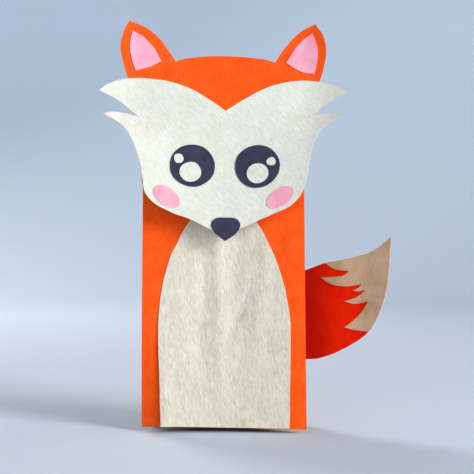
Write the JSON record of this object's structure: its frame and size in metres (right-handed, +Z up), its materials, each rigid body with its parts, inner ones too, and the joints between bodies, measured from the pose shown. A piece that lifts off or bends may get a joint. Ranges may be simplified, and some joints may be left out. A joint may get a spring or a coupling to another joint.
{
  "type": "paper bag hand puppet",
  "caption": "Fox hand puppet made from a folded paper bag, with a hinged flap head that opens as a mouth, card face, belly patch and bushy tail.",
  "frame": {"origin": "centre of the bag's open mouth, where the wrist enters", "axes": "+Z up along the bag towards the head, the fox faces -Y, and +X is the side the tail is on"},
  "size_m": [0.2351, 0.0527, 0.3275],
  "materials": {
    "kraft_paper": "plain brown kraft bag paper",
    "orange_card": "matt fibrous construction paper",
    "cream_card": "matt flecked construction paper",
    "pink_card": "matt construction paper",
    "navy_card": "matt dark violet-blue construction paper"
  },
  "bodies": {
    "bag_back": {"bag_back_wall": "kraft_paper", "bag_back_seam": "kraft_paper", "tail_root": "orange_card", "gusset_left_back": "kraft_paper", "gusset_right_back": "kraft_paper"},
    "bag_front": {"bag_front_wall": "kraft_paper", "body_cover": "orange_card", "belly_patch": "cream_card", "gusset_left_front": "kraft_paper", "gusset_right_front": "kraft_paper"},
    "head": {"flap_tab_left": "kraft_paper", "flap_tab_right": "kraft_paper", "flap_tab_lower": "kraft_paper", "flap_tab_upper": "kraft_paper", "pleat_left": "kraft_paper", "pleat_right": "kraft_paper", "head_cover": "orange_card", "inner_ear_left": "pink_card", "inner_ear_right": "pink_card", "face_patch": "cream_card", "nose": "navy_card", "eye_left": "navy_card", "eye_right": "navy_card", "eye_glint_large_left": "cream_card", "eye_glint_large_right": "cream_card", "eye_glint_small_left": "cream_card", "eye_glint_small_right": "cream_card", "cheek_left": "pink_card", "cheek_right": "pink_card"},
    "mouth_roof": {"mouth_roof": "kraft_paper"},
    "tail": {"tail_blade": "orange_card", "tail_tip": "cream_card"}
  },
  "joints": [
    {"name": "head_flap", "type": "hinge", "parent": "bag_back", "child": "head", "pos_m": [0, 0.019, 0.27], "axis": [-1, 0, 0], "range_deg": [-4, 50], "stiffness_Nm_per_rad": 0.05, "deforming": ["pleat_left", "pleat_right"]},
    {"name": "mouth_roof_fold", "type": "hinge", "parent": "head", "child": "mouth_roof", "pos_m": [0, -0.00145, 0.19369], "axis": [-1, 0, 0], "range_deg": [-3, 23]},
    {"name": "front_panel", "type": "hinge", "parent": "bag_back", "child": "bag_front", "pos_m": [0, -0.019, 0.0022], "axis": [1, 0, 0], "range_deg": [-1, 7], "deforming": ["gusset_left_back", "gusset_left_front", "gusset_right_back", "gusset_right_front"]},
    {"name": "tail_bend", "type": "hinge", "parent": "bag_back", "child": "tail", "pos_m": [0.0656, 0.0198, 0.091], "axis": [0, 0, 1], "range_deg": [-20, 60], "stiffness_Nm_per_rad": 0.01}
  ],
  "couplings": [
    {"joint": "mouth_roof_fold", "follows": "head_flap", "ratio": 0.44},
    {"joint": "front_panel", "follows": "head_flap", "ratio": 0.128}
  ]
}
